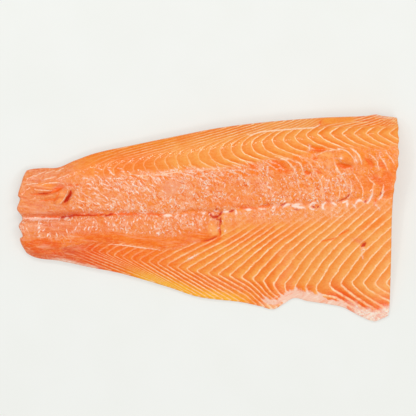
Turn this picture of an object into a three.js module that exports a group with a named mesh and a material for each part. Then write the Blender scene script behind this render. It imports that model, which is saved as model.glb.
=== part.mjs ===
// A raw side of salmon lying on its skin: one solid, millimetres, Z up.
// +X runs from the tail to the knife cut behind the head, +Y from the belly to the back.
// Across the fish, the position s is -1 on the belly edge, 0 on the spine line and +1 on the
// back edge. Along the fish, u is 0 on the tail end and 1 on the knife cut.
import * as THREE from "three";

// Driving dimensions
const LOIN_THICKNESS = 29; // thickest flesh, beside the knife cut
const TAIL_THICKNESS = 12.5; // flesh at the tail end
const HALF_LENGTH = 153; // from the middle of the fillet to either end
const EDGE_ROLL = 1.0; // how far the top surface starts inside the outline
const SKIN_TUCK = 1.6; // how far the skin's flat underside lies inside the outline
const OUTLINE_LEVEL = 0.45; // height of the widest line, as a share of the edge thickness
const GROOVE_HALF_WIDTH = 2.6; // of the furrow that the backbone leaves
const CELLS_ALONG = 78;
const CELLS_ACROSS = 36;

// The edges seen from above, as y over x
const BACK_EDGE = curve([
  [-154, 30], [-147, 37.2], [-134, 39.6], [-121, 40], [-108, 45.4], [-90, 51.8],
  [-58, 58.6], [-20, 66.4], [8, 71.8], [45, 76.4], [90, 80], [126, 81.4],
  [134, 83.4], [142, 82.4], [150, 80], [154, 76],
]);
const BELLY_EDGE = curve([
  [-154, -20.4], [-147, -28], [-138, -32.6], [-121, -34.8], [-96, -40], [-70, -45.2],
  [-32, -56.2], [-8, -64], [26, -68.2], [42, -71.6], [52, -74], [60, -70],
  [69, -65], [80, -67.4], [96, -69.8], [109, -72.6], [121, -79], [133, -83.6],
  [141, -80.4], [146, -74.6],
]);
const SPINE_LINE = curve([
  [-150, -0.8], [-118, 0.2], [-102, 2.4], [-50, 2.4], [-30, 1.6], [-14, 4.2],
  [4, 3.6], [34, 7.6], [76, 10], [101, 10.8], [112, 13.8], [130, 14.8], [150, 18],
]);

// The two ends seen from above, as x over s. The tail end is uneven, the knife cut nearly straight.
const TAIL_END = curve([
  [-1, -146], [-0.85, -150.4], [-0.7, -151.2], [-0.56, -149], [-0.28, -152.2], [0, -149.4],
  [0.24, -153.6], [0.45, -151.2], [0.58, -152.9], [0.8, -150.2], [0.92, -148.4], [1, -146],
]);
const KNIFE_CUT = curve([
  [-1, 144.8], [-0.95, 145.6], [-0.5, 146.3], [-0.2, 146.6], [0.1, 149.2], [0.3, 152],
  [0.6, 152.6], [0.93, 152.8], [1, 149.6],
]);

// Thickness along the loin, and its share across the fish at either end
const LOIN_HEIGHT = curve([
  [-150, TAIL_THICKNESS], [-100, 15], [-50, 18.5], [0, 22], [50, 25.5], [100, 28],
  [150, LOIN_THICKNESS],
]);
const TAIL_SECTION = curve([
  [-1, 0.4], [-0.86, 0.7], [-0.6, 0.92], [-0.3, 0.98], [0, 0.94], [0.3, 1],
  [0.6, 0.97], [0.86, 0.78], [1, 0.46],
]);
const HEAD_SECTION = curve([
  [-1, 0.09], [-0.93, 0.13], [-0.8, 0.23], [-0.6, 0.4], [-0.4, 0.57], [-0.2, 0.72],
  [0, 0.81], [0.2, 0.91], [0.45, 1], [0.7, 0.96], [0.88, 0.77], [1, 0.42],
]);

// Depth of the furrow along the spine line
const GROOVE_DEPTH = curve([
  [-150, 4.2], [-110, 3.6], [-70, 2.4], [-40, 1.6], [0, 2.4], [20, 1.4], [80, 1.2], [150, 1.6],
]);

// The long bundle below the spine line, which ends in a torn step
const BUNDLE_WIDTH = curve([[-150, 27], [-75, 24], [-45, 27], [-20, 27], [0, 22], [12, 18]]);
const BUNDLE_RISE = 2.2;
const BUNDLE_END = 8;
const STEP_LENGTH = 2.5;

// The shallow valley between the medial flesh and the loin above it
const VALLEY_OFFSET = curve([
  [-80, 36], [-50, 42], [-6, 42], [46, 38], [66, 38], [82, 43], [98, 43], [150, 40],
]);
const VALLEY_DEPTH = 1.1;
const VALLEY_HALF_WIDTH = 6;
const VALLEY_START = -90;

// Gashes and lobes: centre, half length, half width, turn in degrees, and rise (negative is a cut)
const HOLLOWS_AND_LOBES = [
  { x: -132, y: 19.4, long: 8, wide: 2.6, turn: 4, rise: -3.0 }, // slit near the tail
  { x: -111, y: 17.4, long: 7, wide: 2.8, turn: 68, rise: -3.4 }, // crescent behind the lip
  { x: -117.5, y: 15.4, long: 6.5, wide: 3.0, turn: 62, rise: 1.8 }, // lifted lip
  { x: -134, y: 26.5, long: 12, wide: 4.0, turn: 6, rise: 1.2 }, // fold above the slit
  { x: 86, y: 55.5, long: 8, wide: 2.8, turn: -8, rise: -2.2 }, // pocket in the loin
  { x: 96, y: 51, long: 7, wide: 4.5, turn: -6, rise: 1.4 }, // lobe below the pocket
  { x: 111, y: 48.5, long: 8, wide: 5.5, turn: -12, rise: 1.8 }, // larger lobe
  { x: 55, y: 41, long: 8, wide: 4.0, turn: -18, rise: -1.6 }, // hollow in the medial flesh
  { x: 36, y: 41.5, long: 5, wide: 3.0, turn: -30, rise: -1.1 }, // smaller hollow
  { x: 123.5, y: -21.5, long: 3, wide: 2.4, turn: 35, rise: -1.6 }, // nick in the belly flesh
  { x: 7, y: 3.4, long: 6, wide: 2.6, turn: 12, rise: -2.4 }, // torn end of the bundle
];

// A smooth function through a few [position, value] pairs, constant beyond its ends
function curve(points) {
  const last = points.length - 1;
  const slopes = points.map((point, i) => {
    const before = points[Math.max(i - 1, 0)];
    const after = points[Math.min(i + 1, last)];
    return (after[1] - before[1]) / (after[0] - before[0]);
  });
  return (position) => {
    if (position <= points[0][0]) return points[0][1];
    if (position >= points[last][0]) return points[last][1];
    const i = points.findIndex((point) => point[0] > position) - 1;
    const span = points[i + 1][0] - points[i][0];
    const t = (position - points[i][0]) / span;
    const rise = points[i + 1][1] - points[i][1];
    const lead = slopes[i] * span - rise;
    const tail = rise - slopes[i + 1] * span;
    return points[i][1] + t * rise + t * (1 - t) * ((1 - t) * lead + t * tail);
  };
}

function smoothStep(from, to, value) {
  return THREE.MathUtils.smoothstep(value, from, to);
}

function bell(distance, halfWidth) {
  return Math.exp(-((distance / halfWidth) ** 2));
}

// A point of the plan, drawn in from the outline by inset except at the knife cut
function planPoint(u, s, inset) {
  const start = TAIL_END(s) + inset;
  const x = THREE.MathUtils.lerp(start, KNIFE_CUT(s), u);
  const spine = SPINE_LINE(x);
  const edge = s < 0 ? spine - BELLY_EDGE(x) : BACK_EDGE(x) - spine;
  return [x, spine + s * (edge - inset)];
}

function bundleRelief(x, y) {
  const below = (SPINE_LINE(x) - y) / BUNDLE_WIDTH(x);
  if (below <= 0 || below >= 1) return 0;
  const crown = Math.sqrt(Math.sin(Math.PI * below));
  return BUNDLE_RISE * crown * (1 - smoothStep(BUNDLE_END - STEP_LENGTH, BUNDLE_END, x));
}

function valleyRelief(x, y) {
  const distance = y - SPINE_LINE(x) - VALLEY_OFFSET(x);
  const fadeIn = smoothStep(VALLEY_START, VALLEY_START + 50, x);
  return -VALLEY_DEPTH * fadeIn * bell(distance, VALLEY_HALF_WIDTH);
}

function spotRelief(spot, x, y) {
  const turn = THREE.MathUtils.degToRad(spot.turn);
  const along = (x - spot.x) * Math.cos(turn) + (y - spot.y) * Math.sin(turn);
  const across = (y - spot.y) * Math.cos(turn) - (x - spot.x) * Math.sin(turn);
  return spot.rise * bell(along, spot.long) * bell(across, spot.wide);
}

// Height of the flesh over the skin
function height(x, y, s) {
  const headShare = smoothStep(-HALF_LENGTH, 0.4 * HALF_LENGTH, x);
  const section = THREE.MathUtils.lerp(TAIL_SECTION(s), HEAD_SECTION(s), headShare);
  const inside = 1 - s ** 8;
  const groove = -GROOVE_DEPTH(x) * bell(y - SPINE_LINE(x), GROOVE_HALF_WIDTH);
  const spots = HOLLOWS_AND_LOBES.reduce((sum, spot) => sum + spotRelief(spot, x, y), 0);
  const relief = groove + bundleRelief(x, y) + valleyRelief(x, y) + spots;
  return LOIN_HEIGHT(x) * section + inside * relief;
}

// Grid lines crowd towards the spine line, where the furrow is
function acrossPosition(j) {
  const t = (2 * j) / CELLS_ACROSS - 1;
  return 0.55 * t + 0.45 * t * Math.abs(t);
}

function topVertex(i, j) {
  const s = acrossPosition(j);
  const [x, y] = planPoint(i / CELLS_ALONG, s, EDGE_ROLL);
  return [x, y, height(x, y, s)];
}

function outlineVertex(i, j) {
  const s = acrossPosition(j);
  const [x, y] = planPoint(i / CELLS_ALONG, s, 0);
  return [x, y, OUTLINE_LEVEL * height(x, y, s)];
}

function skinVertex(i, j) {
  const [x, y] = planPoint(i / CELLS_ALONG, acrossPosition(j), SKIN_TUCK);
  return [x, y, 0];
}

// Grid positions round the border, anticlockwise seen from above
function borderCells() {
  const cells = [];
  for (let i = 0; i < CELLS_ALONG; i += 1) cells.push([i, 0]);
  for (let j = 0; j < CELLS_ACROSS; j += 1) cells.push([CELLS_ALONG, j]);
  for (let i = CELLS_ALONG; i > 0; i -= 1) cells.push([i, CELLS_ACROSS]);
  for (let j = CELLS_ACROSS; j > 0; j -= 1) cells.push([0, j]);
  return cells;
}

function filletGeometry() {
  const vertices = [];
  const triangles = [];
  const topIndex = (i, j) => i * (CELLS_ACROSS + 1) + j;
  for (let i = 0; i <= CELLS_ALONG; i += 1) {
    for (let j = 0; j <= CELLS_ACROSS; j += 1) vertices.push(topVertex(i, j));
  }
  for (let i = 0; i < CELLS_ALONG; i += 1) {
    for (let j = 0; j < CELLS_ACROSS; j += 1) {
      const [a, b, c, d] = [topIndex(i, j), topIndex(i + 1, j), topIndex(i + 1, j + 1), topIndex(i, j + 1)];
      triangles.push([a, b, c], [a, c, d]);
    }
  }
  const border = borderCells();
  const topRing = border.map(([i, j]) => topIndex(i, j));
  const outlineRing = border.map(([i, j]) => vertices.push(outlineVertex(i, j)) - 1);
  const skinRing = border.map(([i, j]) => vertices.push(skinVertex(i, j)) - 1);
  addWall(triangles, outlineRing, topRing);
  addWall(triangles, skinRing, outlineRing);
  const skinOutline = skinRing.map((index) => new THREE.Vector2(...vertices[index]));
  for (const [a, b, c] of THREE.ShapeUtils.triangulateShape(skinOutline, [])) {
    triangles.push([skinRing[a], skinRing[c], skinRing[b]]);
  }
  const geometry = new THREE.BufferGeometry();
  geometry.setAttribute("position", new THREE.Float32BufferAttribute(vertices.flat(), 3));
  geometry.setIndex(triangles.flat());
  return geometry;
}

function addWall(triangles, lowerRing, upperRing) {
  lowerRing.forEach((lower, k) => {
    const next = (k + 1) % lowerRing.length;
    triangles.push([lower, lowerRing[next], upperRing[next]], [lower, upperRing[next], upperRing[k]]);
  });
}

// Puts the origin below the middle of the fillet's box, on the skin
function centreOverOrigin(geometry) {
  geometry.computeBoundingBox();
  const centre = geometry.boundingBox.getCenter(new THREE.Vector3());
  geometry.translate(-centre.x, -centre.y, 0);
  geometry.computeVertexNormals();
  return geometry;
}

const flesh = new THREE.MeshStandardMaterial({ color: 0xf79a5d, roughness: 0.35, metalness: 0 });
const fillet = new THREE.Mesh(centreOverOrigin(filletGeometry()), flesh);
fillet.name = "fillet";

const side = new THREE.Group();
side.add(fillet);

export default side;
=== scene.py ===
"""A raw side of salmon on its skin: fine relief, muscle lines and a wet finish.

Lengths are millimetres until a mesh is made. +X runs from the tail to the knife cut, +Y from
the belly to the back and +Z up. Across the fish, s is -1 on the belly edge, 0 on the spine line
and +1 on the back edge. Along the fish, u is 0 at the tail end and 1 at the knife cut.
"""
import math

import bpy
import numpy as np
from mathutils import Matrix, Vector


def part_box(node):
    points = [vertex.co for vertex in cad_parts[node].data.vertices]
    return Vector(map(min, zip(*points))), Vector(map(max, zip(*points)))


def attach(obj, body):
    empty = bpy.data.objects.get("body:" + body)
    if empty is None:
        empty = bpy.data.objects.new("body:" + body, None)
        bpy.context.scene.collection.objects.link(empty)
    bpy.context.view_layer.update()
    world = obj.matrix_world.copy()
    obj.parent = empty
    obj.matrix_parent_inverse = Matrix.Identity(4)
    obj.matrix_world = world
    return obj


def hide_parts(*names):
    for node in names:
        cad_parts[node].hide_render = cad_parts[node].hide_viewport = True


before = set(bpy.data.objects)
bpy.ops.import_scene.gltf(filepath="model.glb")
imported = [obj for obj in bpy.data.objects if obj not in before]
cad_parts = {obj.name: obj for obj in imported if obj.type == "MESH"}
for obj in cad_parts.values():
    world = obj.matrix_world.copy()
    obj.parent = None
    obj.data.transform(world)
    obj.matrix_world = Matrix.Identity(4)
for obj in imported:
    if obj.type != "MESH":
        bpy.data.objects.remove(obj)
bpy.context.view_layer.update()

# Metres in a millimetre, and millimetres in a metre
METRES, MILLIMETRES = 0.001, 1000
CAD_LOW = np.array(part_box("fillet")[0]) * MILLIMETRES

# -------- driving dimensions
LOIN_THICKNESS = 28.2
TAIL_THICKNESS = 12.5
HALF_LENGTH = 153
EDGE_ROLL = 1
TIP_ROUNDING = 0.9
GROOVE_HALF_WIDTH = 2.6
SKIN_THICKNESS = 0.9
CELLS_ALONG = 400
CELLS_ACROSS = 168
WALL_ROWS = 12


# -------- small maths
def curve(*points):
    """A smooth function through a few (position, value) pairs, constant beyond its ends."""
    xs, ys = np.array(points, dtype=float).T
    last = len(xs) - 1
    before = np.maximum(np.arange(last + 1) - 1, 0)
    after = np.minimum(np.arange(last + 1) + 1, last)
    slopes = (ys[after] - ys[before]) / (xs[after] - xs[before])

    def value(position):
        position = np.clip(position, xs[0], xs[-1])
        i = np.clip(np.searchsorted(xs, position, side="right") - 1, 0, last - 1)
        span = xs[i + 1] - xs[i]
        t = (position - xs[i]) / span
        rise = ys[i + 1] - ys[i]
        lead = slopes[i] * span - rise
        tail = rise - slopes[i + 1] * span
        return ys[i] + t * rise + t * (1 - t) * ((1 - t) * lead + t * tail)

    return value


def grows(low, high, value):
    """0 below low, 1 above high and a smooth step between."""
    t = np.clip((value - low) / (high - low), 0, 1)
    return t * t * (3 - 2 * t)


def fades(low, high, value):
    return 1 - grows(low, high, value)


def bell(distance, half_width):
    return np.exp(-((distance / half_width) ** 2))


def band(value, low, high, soft):
    """1 between low and high, fading over soft on either side."""
    return grows(low - soft, low + soft, value) * fades(high - soft, high + soft, value)


LATTICE_SIZE, LATTICE_MIDDLE = 512, 200


def lattice_noise(x, y, cell, seed):
    """Smooth noise between -1 and 1 whose bumps are about one cell across."""
    rng = np.random.default_rng(seed)
    lattice = rng.uniform(-1, 1, (LATTICE_SIZE, LATTICE_SIZE))
    gx, gy = x / cell + LATTICE_MIDDLE, y / cell + LATTICE_MIDDLE
    ix, iy = np.floor(gx).astype(int), np.floor(gy).astype(int)
    fx, fy = gx - ix, gy - iy
    fx, fy = fx * fx * (3 - 2 * fx), fy * fy * (3 - 2 * fy)

    def corner(dx, dy):
        return lattice[(ix + dx) % LATTICE_SIZE, (iy + dy) % LATTICE_SIZE]

    lower = corner(0, 0) * (1 - fx) + corner(1, 0) * fx
    upper = corner(0, 1) * (1 - fx) + corner(1, 1) * fx
    return lower * (1 - fy) + upper * fy


def rough_noise(x, y, cell, seed, octaves=3):
    """Noise with finer noise on top, each octave half the size and turned a little."""
    total = 0
    for octave in range(octaves):
        turn = 0.7 * octave
        tx = x * math.cos(turn) - y * math.sin(turn)
        ty = x * math.sin(turn) + y * math.cos(turn)
        total = total + lattice_noise(tx, ty, cell / 2 ** octave, seed + octave) / 2 ** octave
    return total / 1.5


# -------- plan and thickness
BACK_EDGE = curve(
    (-154, 30), (-147, 37.2), (-134, 39.6), (-121, 40), (-108, 45.4), (-90, 51.8),
    (-58, 58.6), (-20, 66.4), (8, 71.8), (45, 76.4), (90, 80), (126, 81.4),
    (134, 82.6), (141, 81.3), (149, 80.4), (154, 79),
)
BELLY_EDGE = curve(
    (-154, -20.4), (-147, -28), (-138, -32.6), (-121, -34.8), (-96, -40), (-70, -45.2),
    (-32, -56.2), (-8, -64), (26, -68.2), (42, -71.6), (52, -74), (60, -70),
    (69, -65), (80, -67.4), (96, -69.8), (109, -72.6), (121, -79), (133, -83.6),
    (140, -81.4), (146, -78.2),
)
SPINE_LINE = curve(
    (-150, -0.8), (-118, 0.2), (-102, 2.4), (-50, 2.4), (-30, 1.6), (-14, 4.2),
    (4, 3.6), (34, 7.6), (76, 10), (101, 10.8), (112, 13.8), (130, 14.8), (150, 18),
)
TAIL_END = curve(
    (-1, -146), (-0.85, -150.4), (-0.7, -151.2), (-0.56, -149), (-0.28, -152.2), (0, -149.4),
    (0.24, -153.6), (0.45, -151.2), (0.58, -152.9), (0.8, -150.2), (0.92, -148.4), (1, -146),
)
KNIFE_CUT = curve(
    (-1, 144.8), (-0.95, 145.6), (-0.5, 146.3), (-0.2, 146.4), (0, 147.4), (0.28, 149.8),
    (0.42, 151), (0.6, 151.3), (0.93, 151.4), (1, 151.2),
)
CUT_WAVE, CUT_WAVE_RATE = 0.42, 37
LOIN_HEIGHT = curve(
    (-150, TAIL_THICKNESS), (-100, 15), (-50, 18.5), (0, 22), (50, 25.2), (100, 27),
    (150, LOIN_THICKNESS),
)
TAIL_SECTION = curve(
    (-1, 0.4), (-0.86, 0.7), (-0.6, 0.92), (-0.3, 0.98), (0, 0.94), (0.3, 1),
    (0.6, 0.97), (0.86, 0.78), (1, 0.46),
)
HEAD_SECTION = curve(
    (-1, 0.09), (-0.93, 0.13), (-0.8, 0.23), (-0.6, 0.4), (-0.4, 0.57), (-0.2, 0.72),
    (0, 0.81), (0.2, 0.91), (0.45, 1), (0.7, 0.96), (0.88, 0.77), (1, 0.42),
)
GROOVE_DEPTH = curve(
    (-150, 4.2), (-110, 3.6), (-70, 2.4), (-40, 1.6), (0, 2.4), (20, 1.4), (80, 1.2), (150, 1.6),
)
BUNDLE_WIDTH = curve((-150, 27), (-75, 24), (-45, 27), (-20, 27), (0, 22), (12, 18))
BUNDLE_RISE = curve((-150, 2), (-100, 1.7), (-60, 1.1), (0, 1))
BUNDLE_END = 8
STEP_LENGTH = 1.2
VALLEY_OFFSET = curve(
    (-80, 30), (-50, 34.6), (-6, 35.4), (20, 35), (46, 37), (66, 38), (82, 43), (98, 43),
    (150, 40),
)
VALLEY_DEPTH = 1.1
VALLEY_HALF_WIDTH = 6
VALLEY_START, VALLEY_FULL = -90, -40

# Soft hollows and a fold: centre x and y, half length, half width, turn in degrees, rise
HOLLOWS = [
    (-132.5, 18.9, 6.5, 1.1, 3, -1.2),  # slit near the tail
    (-120.5, 23, 5.5, 1.8, 24, -2),  # fold from the slit to the tongue
    (-112, 15.9, 7.5, 1.7, 59, -3.6),  # crescent behind the tongue
    (-134, 26, 12, 4, 6, 1.4),  # fold above the slit
    (-126, 14.2, 8, 1.2, 7, -0.9),  # crease under the fold
    (87, 54.8, 9, 2, -8, -3),  # pocket in the loin
    (56, 41.6, 8, 3.4, -18, -2.2),  # hollow in the medial flesh
    (36, 41.5, 5, 2.6, -30, -1.4),  # smaller hollow
    (108.5, 40.4, 8, 2.2, -8, -1.7),  # under the larger lobe
    (79, 35.2, 4, 1.8, -20, -1),
    (129, 43.4, 3.4, 2.6, -40, -1.2),
    (138.3, 41.8, 3, 2.4, -40, -1),
    (123.5, -21.5, 2.2, 1.6, 35, -1.6),  # nick in the belly flesh
    (7, 3.4, 6, 1.6, 12, -2.4),  # torn end of the bundle
]
# Lobes with a steep rim, given in the same way
LOBES = [
    (-118.3, 16.6, 8, 4.6, 60, 1.8),  # lifted tongue
    (-127.5, 17, 7.5, 1.5, 12, 0.8),  # fold below the slit
    (107.8, 48.4, 9.5, 5.4, -34, 2.2),  # large lobe of the loin
    (93.6, 50, 7.5, 3.4, -8, 1.4),
    (96, 42.4, 5.2, 4.4, 0, 1.2),
    (119, 48.8, 8, 3, -50, 1.2),  # sheets beside it
    (131.2, 47.4, 8, 3.2, -56, 1),
    (64, 43, 6.5, 4.6, -14, 1.2),
    (73.4, 41, 5.6, 3.6, -62, 1.1),
    (81.4, 40, 5.2, 3.4, -60, 0.9),
]


def knife_cut(s):
    """The straight cut, with the slight scallops of the muscle layers in its back half."""
    return KNIFE_CUT(s) + CUT_WAVE * np.sin(CUT_WAVE_RATE * s) * band(s, 0.05, 0.9, 0.1)


def plan_point(u, s, inset):
    """Plan position, drawn in from the outline by inset except at the knife cut."""
    start = TAIL_END(s) + inset
    x = start + (knife_cut(s) - start) * u
    spine = SPINE_LINE(x)
    edge = np.where(s < 0, spine - BELLY_EDGE(x), BACK_EDGE(x) - spine)
    return x, spine + s * (edge - inset)


def bundle_share(x, y):
    """0 on the spine line, 1 on the far side of the long bundle below it."""
    return (SPINE_LINE(x) - y) / BUNDLE_WIDTH(x)


def bundle_end(x):
    return fades(BUNDLE_END - STEP_LENGTH, BUNDLE_END, x)


def bundle_relief(x, y):
    below = np.clip(bundle_share(x, y), 0, 1)
    return BUNDLE_RISE(x) * np.sqrt(np.sin(np.pi * below)) * bundle_end(x)


def valley_distance(x, y):
    return y - SPINE_LINE(x) - VALLEY_OFFSET(x)


def valley_relief(x, y):
    fade_in = grows(VALLEY_START, VALLEY_FULL, x)
    return -VALLEY_DEPTH * fade_in * bell(valley_distance(x, y), VALLEY_HALF_WIDTH)


def turned(x, y, cx, cy, degrees):
    turn = math.radians(degrees)
    along = (x - cx) * math.cos(turn) + (y - cy) * math.sin(turn)
    across = (y - cy) * math.cos(turn) - (x - cx) * math.sin(turn)
    return along, across


def spot_relief(x, y):
    total = 0
    for cx, cy, long, wide, degrees, rise in HOLLOWS:
        along, across = turned(x, y, cx, cy, degrees)
        total = total + rise * bell(along, long) * bell(across, wide)
    for cx, cy, long, wide, degrees, rise in LOBES:
        along, across = turned(x, y, cx, cy, degrees)
        inside = np.clip(1 - (along / long) ** 2 - (across / wide) ** 2, 0, 1)
        total = total + rise * inside ** 0.6
    return total


def base_height(x, s):
    head_share = grows(-HALF_LENGTH, 0.4 * HALF_LENGTH, x)
    section = TAIL_SECTION(s) + (HEAD_SECTION(s) - TAIL_SECTION(s)) * head_share
    return LOIN_HEIGHT(x) * section


# -------- muscle lines
COUNT_STEPS = np.linspace(-220, 280, 2001)


def running_count(pitch, line_at):
    """How many lines lie between line_at and x, when they are pitch(x) apart."""
    xs = COUNT_STEPS
    middle = (xs[1:] + xs[:-1]) / 2
    count = np.concatenate([[0], np.cumsum(np.diff(xs) / pitch(middle))])
    offset = np.interp(line_at, xs, count)
    return lambda x: np.interp(x, xs, count) - offset


def bend(distance, near, far, reach):
    """Sideways run after distance, when the run per millimetre goes from near to far over reach."""
    first = np.minimum(distance, reach)
    rest = np.maximum(distance - reach, 0)
    return near * first + (far - near) * first ** 2 / (2 * reach) + far * rest


BELLY_TIPS = curve(
    (-94, -26), (-62, -32.8), (-46, -35.6), (-22, -40.4), (-6, -43.6), (26, -47.6),
    (50, -50.8), (74, -52.4), (146, -52.4),
)
BELLY_COUNT = running_count(
    curve((-86, 6), (-46, 7.3), (-6, 8.4), (34, 9.2), (74, 8.65), (106, 9), (146, 9.2)), 106.6)
BELLY_RISE_NEAR = curve(
    (-62, 1.5), (-22, 1.65), (-6, 1.5), (26, 1.1), (62, 0.85), (90, 0.62), (114, 0.75), (146, 0.8))
BELLY_RISE_MID = curve(
    (-62, 2.6), (-22, 1.95), (-6, 1.55), (26, 1), (62, 0.72), (90, 0.7), (146, 0.8))
BELLY_RISE_FAR = curve(
    (-62, 1.5), (-22, 1.4), (-6, 1.4), (26, 1.4), (62, 1.15), (90, 1.12), (146, 1.05))
BELLY_FALL_NEAR = curve(
    (-100, 2.5), (-86, 2.1), (-60, 1.72), (-20, 1.66), (10, 1.75), (70, 1.7), (96, 1.1), (146, 1.1))
BELLY_FALL_FAR = curve(
    (-100, 2.5), (-86, 2.1), (-60, 1.72), (-20, 1.68), (10, 1.75), (70, 1.75), (96, 1.6),
    (118, 1.6), (134, 2.2), (146, 2.3))
GATHERED_BEFORE_NOTCH, RELEASED_BEYOND_NOTCH = 13, 10
# Distances from a tip over which the lines bend
BELLY_RISE_BEND, BELLY_FALL_BEND, BACK_RISE_BEND = 16, 6, 12
GATHER_REACH = 9.5

BACK_TIPS = curve(
    (-78, 37), (-46, 43), (-14, 49.2), (10, 53.6), (28, 57.2), (42, 59.2), (51, 61.2),
    (66, 63.6), (87, 66.8), (106, 66.8), (146, 67.2),
)
BACK_COUNT = running_count(
    curve((-86, 7.8), (-46, 8.5), (-6, 8.8), (34, 8.2), (66, 9), (98, 9.7), (120, 9.4), (146, 9.4)),
    106.5)
BACK_RISE_NEAR = curve((-62, 0.3), (42, 0.4), (66, 0.9), (90, 1.4), (146, 1.5))
BACK_RISE_FAR = curve((-62, 3.2), (-6, 3.1), (42, 2.8), (90, 2), (146, 2))
BACK_FALL_NEAR = curve((-62, 0.35), (28, 0.35), (43, 0.5), (66, 1), (87, 1.35), (146, 1.55))
BACK_FALL_CURL = curve((-62, 0.006), (28, 0.011), (66, 0.009), (87, 0.006), (146, 0.005))


def rounded(distance):
    """Distance past a tip, growing slowly at first so that the line turns round the tip."""
    return np.sqrt(distance ** 2 + TIP_ROUNDING ** 2) - TIP_ROUNDING


TIP_ROUNDS = 16


def tip_position(x, y, tips, run_above, run_below):
    """Where along the row of tips the muscle line through (x, y) has its tip."""
    tip = np.array(x, dtype=float)
    for _ in range(TIP_ROUNDS):
        rise = y - tips(tip)
        above = run_above(rounded(np.maximum(rise, 0)), tip)
        below = run_below(rounded(np.maximum(-rise, 0)), tip)
        tip = 0.5 * tip + 0.5 * (x - np.where(rise > 0, above, below))
    return tip


def gathered(x, y):
    """Below their tips the belly layers are drawn together towards the notch in the belly edge."""
    drawn = GATHERED_BEFORE_NOTCH * grows(28, 58, x) - RELEASED_BEYOND_NOTCH * grows(84, 106, x)
    fall = np.clip((BELLY_TIPS(x) - y) / GATHER_REACH, 0, 1)
    return x + drawn * fall * (1.25 - 0.25 * fall * fall)


def belly_run_above(rise, tip):
    near, middle, far = BELLY_RISE_NEAR(tip), BELLY_RISE_MID(tip), BELLY_RISE_FAR(tip)
    lower = bend(np.minimum(rise, BELLY_RISE_BEND), near, middle, BELLY_RISE_BEND)
    return lower + bend(np.maximum(rise - BELLY_RISE_BEND, 0), middle, far, BELLY_RISE_BEND)


def belly_run_below(fall, tip):
    return bend(fall, BELLY_FALL_NEAR(tip), BELLY_FALL_FAR(tip), BELLY_FALL_BEND)


def back_run_above(rise, tip):
    return bend(rise, BACK_RISE_NEAR(tip), BACK_RISE_FAR(tip), BACK_RISE_BEND)


def back_run_below(fall, tip):
    return BACK_FALL_NEAR(tip) * fall + BACK_FALL_CURL(tip) * fall ** 3


def belly_lines(x, y):
    return BELLY_COUNT(tip_position(gathered(x, y), y, BELLY_TIPS, belly_run_above, belly_run_below))


def back_lines(x, y):
    return BACK_COUNT(tip_position(x, y, BACK_TIPS, back_run_above, back_run_below))


EDGE_LINE_SPACING = 2.1
EDGE_LINE = curve(
    (-80, 0), (-20, 16), (20, 27.6), (60, 41), (76, 47.6), (90, 55), (112, 60), (130, 65),
    (142, 70), (152, 78),
)


def edge_lines(x, y):
    """Close slanting lines along the back edge, one above the other."""
    return (y - EDGE_LINE(x)) / EDGE_LINE_SPACING


MEDIAL_PITCH = 9.4
MEDIAL_BULGE = curve(
    (6, -3), (10, 1), (14, 4.6), (20, 8.4), (26, 9.4), (31, 7), (36, 2), (40, 2), (44, 6),
    (50, 5), (62, -10),
)


def medial_lines(x, y):
    """Two stacked bows beside the spine, both bulging towards the knife cut."""
    return (x - MEDIAL_BULGE(y) - 2 * rough_noise(x, y, 18, 111)) / MEDIAL_PITCH


# -------- zones
SIDE_SEPTUM = curve((34, 65.8), (42, 68.2), (55, 69.6), (72, 70.8), (84.6, 72), (89, 74.2))
SEPTUM_START, SEPTUM_FINISH = 30, 90


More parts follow.
